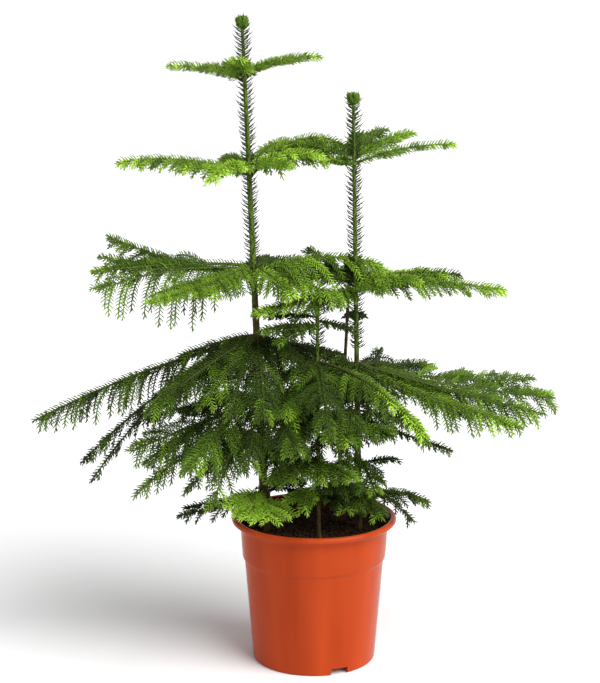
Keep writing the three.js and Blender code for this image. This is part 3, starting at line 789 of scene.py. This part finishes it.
NEEDLE_MATERIALS = [new_material(f"needles_{number}", tone, roughness=0.5, specular=0.15)[0]
                    for number, tone in enumerate(TONES)]
TWIG_BARK = bark_material("twig_bark", dark=(44, 48, 20), light=(70, 80, 30), relief=0.3)
BROWN_BARK = bark_material("brown_bark", dark=(40, 32, 13), light=(90, 75, 36), relief=0.8)
GREEN_BARK = bark_material("green_bark", dark=(47, 64, 12), light=(98, 125, 33), relief=0.5)


# Stems


def stem_relief(stem, height, turn):
    """How far the bark stands out at a height and a turn round the stem, as a share of the radius."""
    relief = STEM_RELIEF
    around = math.cos(turn) * relief["round_scale"], math.sin(turn) * relief["round_scale"]
    spot = Vector((*around, height * relief["height_scale"] + stem["foot"][0]))
    fine = relief["fine_furrow"] * noise.noise(spot * relief["fineness"])
    furrows = relief["furrow"] * noise.noise(spot) + fine
    spiral = max(0, math.sin(relief["scars_round"] * turn + height * relief["scar_twist"]))
    scars = relief["scar"] * spiral * max(0, math.sin(height * relief["scar_rows"]))
    off_whorls = [(height - tier["height"]) / relief["collar_height"] for tier in stem["tiers"]]
    collars = sum(relief["collar"] * math.exp(-(off ** 2)) for off in off_whorls)
    return furrows + scars + collars


def add_stem(stem):
    """A leaning stem with its taper, flare and bark, brown below and green above."""
    top = stem["tip"][2] - STEM["top_inset"]
    rings = int((top - STEM_FOOT) / STEM["ring_spacing"])
    sides = STEM["sides"]
    heights = np.linspace(STEM_FOOT, top, rings)
    turns = np.arange(sides) * math.tau / sides
    vertices = np.zeros((rings, sides, 3))
    for i, height in enumerate(heights):
        share = stem_share_at(stem, height)
        centre = stem_point(stem, share)
        for j, turn in enumerate(turns):
            radius = stem_radius_at(stem, share) * (1 + stem_relief(stem, height, turn))
            vertices[i, j] = centre + radius * np.array([math.cos(turn), math.sin(turn), 0])
    faces = tube_faces(rings, sides)
    ring_of_face = np.repeat(np.arange(rings - 1), sides)
    draws = chance(np.arange(len(faces)), KEY["bark_edge"])
    edge = stem["green_from"] + STEM["green_spread"] * (draws - 0.5)
    green = (heights[ring_of_face] > edge).astype(int)
    name = f"stem_{stem['name']}"
    barks = [BROWN_BARK, GREEN_BARK]
    add_piece(f"bark_{name}", vertices.reshape(-1, 3), faces, barks, [name], green)


# Pot and soil


def arc(centre, radius, start, stop, count):
    """Points of an arc in the plane of radius and height, with angles in degrees."""
    angles = np.radians(np.linspace(start, stop, count))
    return [(centre[0] + radius * math.cos(a), centre[1] + radius * math.sin(a)) for a in angles]


def pot_profile():
    """Points of the pot's outside, from the middle of the foot to the rim, and of its inside after them."""
    rim_centre = (POT["rim_radius"] - POT["rim_bead"], POT["height"] - POT["rim_bead"])
    floor = POT["channel_height"] + POT["wall"]
    under_rim = POT["height"] - 2 * POT["rim_bead"]
    fillet = rim_centre[0] - POT["collar_top_radius"]
    foot = (POT["foot_radius"] - POT["foot_round"], POT["foot_round"])
    outside = [
        (0, 0),
        (POT["pad_radius"], 0),
        (POT["pad_radius"] + POT["channel_slope"], POT["channel_height"]),
        (POT["foot_ring_inside"] - POT["channel_slope"], POT["channel_height"]),
        (POT["foot_ring_inside"], 0),
        *arc(foot, POT["foot_round"], -90, 0, POT["foot_points"]),
        (POT["body_top_radius"], POT["body_top"]),
        (POT["body_top_radius"] + POT["step_run"], POT["body_top"] + POT["step_rise"]),
        (POT["collar_foot_radius"] - POT["step_run"], POT["collar_foot"] - 2 * POT["step_rise"]),
        (POT["collar_foot_radius"], POT["collar_foot"] - POT["step_rise"]),
        (POT["collar_top_radius"], POT["collar_top"]),
        *arc((rim_centre[0], under_rim - fillet), fillet, 180, 90, POT["fillet_points"])[1:],
        *arc(rim_centre, POT["rim_bead"], -90, 90, POT["rim_points"])[1:],
    ]
    inside = [
        (POT["rim_inner_radius"], POT["height"] - POT["rim_bead"] / 4),
        (POT["neck_radius"], POT["neck_height"]),
        (POT["collar_top_radius"] - POT["wall"], POT["collar_top"]),
        (POT["collar_foot_radius"] - POT["wall"], POT["collar_foot"]),
        (POT["body_top_radius"] - POT["wall"], POT["body_top"]),
        (POT["foot_radius"] - POT["wall"], floor),
        (POT["pad_radius"] + POT["channel_slope"] - POT["wall"], floor),
        (POT["pad_radius"] - POT["wall"], POT["wall"]),
        (0, POT["wall"]),
    ]
    return outside, inside


def turned_mesh(profile, facets):
    """Vertices and triangles of a solid turned about Z, whose profile starts and ends on the axis."""
    inner = np.array(profile[1:-1], float)
    turns = np.arange(facets) * math.tau / facets
    circle = np.stack([np.cos(turns), np.sin(turns)], axis=-1)
    places = inner[:, None, :1] * circle[None]
    heights = np.broadcast_to(inner[:, None, 1:], (len(inner), facets, 1))
    rings = np.concatenate([places, heights], axis=2)
    ends = [(0, 0, profile[0][1]), (0, 0, profile[-1][1])]
    vertices = np.concatenate([rings.reshape(-1, 3), ends])
    quads = tube_faces(len(inner), facets)
    sides = np.concatenate([quads[:, [0, 1, 2]], quads[:, [0, 2, 3]]])
    first, last = len(vertices) - 2, len(vertices) - 1
    around = np.arange(facets)
    after = (around + 1) % facets
    top_ring = (len(inner) - 1) * facets
    under = np.stack([np.full(facets, first), after, around], axis=-1)
    over = np.stack([np.full(facets, last), top_ring + around, top_ring + after], axis=-1)
    return vertices, np.concatenate([sides, under, over])


def add_pot():
    """The pot, with its inside painted darker as painted shade."""
    outside, inside = pot_profile()
    vertices, faces = turned_mesh(outside + inside, POT["facets"])
    ring_of_corner = faces // POT["facets"]
    # within marks the inside faces, which take a dark brown material as painted shade.
    within = (ring_of_corner.min(axis=1) >= len(outside) - 1).astype(int)
    materials = [pot_material("pot_plastic", dark=(156, 54, 18), light=(178, 67, 26)),
                 pot_material("pot_inside_painted_shade", dark=(58, 26, 14), light=(104, 40, 18))]
    pot = add_piece("pot_shell", vertices, faces, materials, ["pot"], within)
    for number in range(NOTCH["count"]):
        cut_notch(pot, math.radians(NOTCH["first_azimuth"] + 360 * number / NOTCH["count"]))
    pot.data.set_sharp_from_angle(angle=math.radians(POT["sharp_angle"]))


def cut_notch(pot, azimuth):
    """Cuts one drain notch through the foot ring of the pot."""
    bpy.ops.mesh.primitive_cube_add(size=1)
    cutter = bpy.context.object
    outward = Vector((math.cos(azimuth), math.sin(azimuth), 0))
    cutter.location = outward * POT["foot_radius"] * MM
    cutter.rotation_euler = (0, 0, azimuth)
    cutter.scale = (NOTCH["depth"] * MM, NOTCH["width"] * MM, 2 * NOTCH["height"] * MM)
    modifier = pot.modifiers.new("notch", "BOOLEAN")
    modifier.operation = "DIFFERENCE"
    modifier.object = cutter
    modifier.solver = "EXACT"
    bpy.context.view_layer.objects.active = pot
    bpy.ops.object.modifier_apply(modifier=modifier.name)
    bpy.data.objects.remove(cutter)


def soil_height(x, y):
    """The height of the lumpy soil at a place."""
    spot = Vector((x * LUMPS["per_mm"], y * LUMPS["per_mm"], LUMPS["layer"]))
    lumps = sum(share * noise.noise(spot * fineness) for fineness, share in LUMPS["sizes"])
    return SOIL_TOP + LUMPS["height"] * lumps


def add_soil():
    """The lumpy top of the soil, with loose crumbs of the mix on it."""
    foot = SOIL_TOP - SOIL["depth"]
    profile = [(0, foot), (SOIL["radius"] - SOIL["foot_inset"], foot)]
    profile += [(SOIL["radius"] * (1 - i / SOIL["rings"]), SOIL_TOP) for i in range(SOIL["rings"])]
    profile += [(0, SOIL_TOP)]
    vertices, faces = turned_mesh(profile, SOIL["sides"])
    for vertex in vertices:
        if vertex[2] == SOIL_TOP:
            vertex[2] = soil_height(vertex[0], vertex[1])
    material = soil_material()
    add_piece("soil_top", vertices, faces, [material], ["soil"])
    add_crumbs(material)


def add_crumbs(material):
    """Small uneven lumps, each an octahedron pulled out of shape, scattered over the soil."""
    shape = np.array([(1, 0, 0), (-1, 0, 0), (0, 1, 0), (0, -1, 0), (0, 0, 1), (0, 0, -1)], float)
    sides = np.array([(0, 2, 4), (2, 1, 4), (1, 3, 4), (3, 0, 4), (2, 0, 5), (1, 2, 5), (3, 1, 5), (0, 3, 5)])
    draw = np.random.default_rng(CRUMBS["seed"])
    vertices, faces = [], []
    for number in range(CRUMBS["count"]):
        radius = (SOIL["radius"] - CRUMBS["edge"]) * math.sqrt(draw.random())
        turn = math.tau * draw.random()
        x, y = radius * math.cos(turn), radius * math.sin(turn)
        size = CRUMBS["least"] + CRUMBS["growth"] * draw.random() ** CRUMBS["rarity"]
        stretch = size * draw.uniform(*CRUMBS["stretch"], 3)
        spin = np.linalg.qr(draw.normal(size=(3, 3)))[0]
        corners = (shape * draw.uniform(*CRUMBS["unevenness"], (len(shape), 1)) * stretch) @ spin
        vertices.append(corners + (x, y, soil_height(x, y) + CRUMBS["stand"] * size))
        faces.append(sides + len(shape) * number)
    vertices, faces = np.concatenate(vertices), np.concatenate(faces)
    add_piece("soil_crumbs", vertices, faces, [material], smooth=False)


# The whole plant


def add_fronds():
    """Needles and twigs of each whorl, and the bare limbs of the longest boughs."""
    seed = 0
    limbs, limb_nodes = [], []
    for stem in STEMS:
        for tier_number, tier in enumerate(stem["tiers"]):
            shoots, nodes = [], []
            for index in range(len(boughs_of(tier))):
                shoots += grow_frond(stem, tier_number, index, seed)
                if index < len(tier["boughs"]):
                    nodes.append(f"frond_{stem['name']}_{tier_number + 1}_{index + 1}")
                if index < tier.get("limbs", 0):
                    limbs.append(bough_curve(stem, tier, index))
                    limb_nodes.append(nodes[-1].replace("frond", "bough"))
                seed += 1
            whorl = f"{stem['name']}_{tier_number + 1}"
            add_needles(f"needles_{whorl}", shoots, nodes)
            add_twigs(f"twigs_{whorl}", shoots, nodes)
    return limbs, limb_nodes


def add_limbs(limbs, nodes):
    """The inner limbs of the longest boughs, with bark relief over the twig that runs on from them."""
    rings, sides = LIMB["rings"], LIMB["sides"]
    vertices, faces = [], []
    for number, curve in enumerate(limbs):
        reach = np.linalg.norm((curve[2] - curve[0])[:2])
        shares = np.linspace(0, LIMB["share"], rings)
        centres = points_on(curve, shares)
        across, over = square_up(tangents_on(curve, shares), UP)
        radii = lerp(bough_foot_radius(reach), LIMB["tip_radius"], shares) * LIMB["swell"]
        for i in range(rings):
            for j in range(sides):
                turn = math.tau * j / sides
                outward = across[i] * math.cos(turn) + over[i] * math.sin(turn)
                spot = Vector(centres[i] * LIMB["grain_scale"] + outward * LIMB["round_scale"])
                collar = LIMB["collar"] * math.exp(-shares[i] * reach / LIMB["collar_length"])
                relief = LIMB["furrow"] * noise.noise(spot) + collar
                vertices.append(centres[i] + outward * radii[i] * (1 + relief))
        faces.append(tube_faces(rings, sides) + number * rings * sides)
    add_piece("bark_boughs", np.array(vertices), np.concatenate(faces), [BROWN_BARK], nodes)


def add_plant():
    for stem in STEMS:
        add_stem(stem)
    leaders = [shoot for seed, stem in enumerate(STEMS) for shoot in leader_shoots(stem, seed)]
    add_needles("needles_leaders", leaders)
    limbs, limb_nodes = add_fronds()
    add_limbs(limbs, limb_nodes)


# Stage: pale floor, soft light and the camera


def add_stage():
    bpy.ops.mesh.primitive_plane_add(size=FLOOR["size"])
    floor = bpy.context.object
    floor.name = "floor"
    white = new_material("floor_white", FLOOR["colour"], roughness=0.9, specular=0.05)[0]
    floor.data.materials.append(white)
    add_world()
    add_sun()
    bpy.context.scene.view_settings.view_transform = "Standard"


def add_world():
    """A studio with a white wall all round, and a dimmer ceiling."""
    world = bpy.data.worlds.new("studio")
    world.use_nodes = True
    tree = world.node_tree
    place = tree.nodes.new("ShaderNodeTexCoord")
    split = tree.nodes.new("ShaderNodeSeparateXYZ")
    level = tree.nodes.new("ShaderNodeMapRange")
    level.inputs["From Min"].default_value = STUDIO["wall_to"]
    level.inputs["From Max"].default_value = STUDIO["ceiling_from"]
    level.inputs["To Min"].default_value = STUDIO["wall_strength"]
    level.inputs["To Max"].default_value = STUDIO["ceiling_strength"]
    tree.links.new(place.outputs["Generated"], split.inputs["Vector"])
    tree.links.new(split.outputs["Z"], level.inputs["Value"])
    tree.links.new(level.outputs["Result"], tree.nodes["Background"].inputs["Strength"])
    tree.nodes["Background"].inputs["Color"].default_value = (1, 1, 1, 1)
    bpy.context.scene.world = world


def add_sun():
    """A soft even light from one side."""
    lamp = bpy.data.lights.new("key", "SUN")
    lamp.energy = SUN["strength"]
    lamp.angle = math.radians(SUN["spread"])
    light = bpy.data.objects.new("key", lamp)
    light.rotation_mode = "QUATERNION"
    light.rotation_quaternion = (-Vector(SUN["side"])).to_track_quat("-Z", "Y")
    bpy.context.scene.collection.objects.link(light)


def add_camera():
    """The photo's camera. The frame is taller than wide, so its height fills the sensor's width."""
    lens = bpy.data.cameras.new("camera")
    lens.sensor_width = CAMERA["sensor"]
    lens.lens = CAMERA["focal"] * CAMERA["sensor"] / CAMERA["frame_height"]
    camera = bpy.data.objects.new("camera", lens)
    camera.location = Vector(CAMERA["place"]) * MM
    camera.rotation_euler = (math.radians(90 - CAMERA["tilt"]), 0, 0)
    bpy.context.scene.collection.objects.link(camera)
    bpy.context.scene.camera = camera


add_pot()
add_soil()
add_plant()
add_stage()
add_camera()
